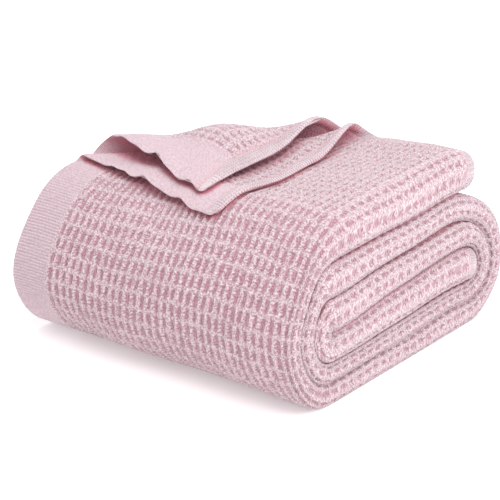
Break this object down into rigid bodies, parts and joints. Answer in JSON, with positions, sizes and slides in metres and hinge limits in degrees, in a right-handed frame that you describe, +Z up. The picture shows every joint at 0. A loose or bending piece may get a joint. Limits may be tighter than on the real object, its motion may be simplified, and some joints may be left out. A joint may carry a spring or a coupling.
{
  "type": "folded waffle weave cotton blanket",
  "caption": "Waffle weave cotton bed blanket, folded in layers across its width, wound into a flat loose roll, with the free corner of its two outer layers turned back.",
  "frame": {"origin": "on the surface that the roll rests on, under the middle of its outer box", "axes": "+X along the roll, from the two hems to the closed fold; +Y from its front to its rear; +Z up"},
  "size_m": [0.3802, 0.4082, 0.221],
  "materials": {
    "pink cotton": "soft matte woven cotton"
  },
  "bodies": {
    "root": {"blanket": "pink cotton"}
  },
  "joints": []
}
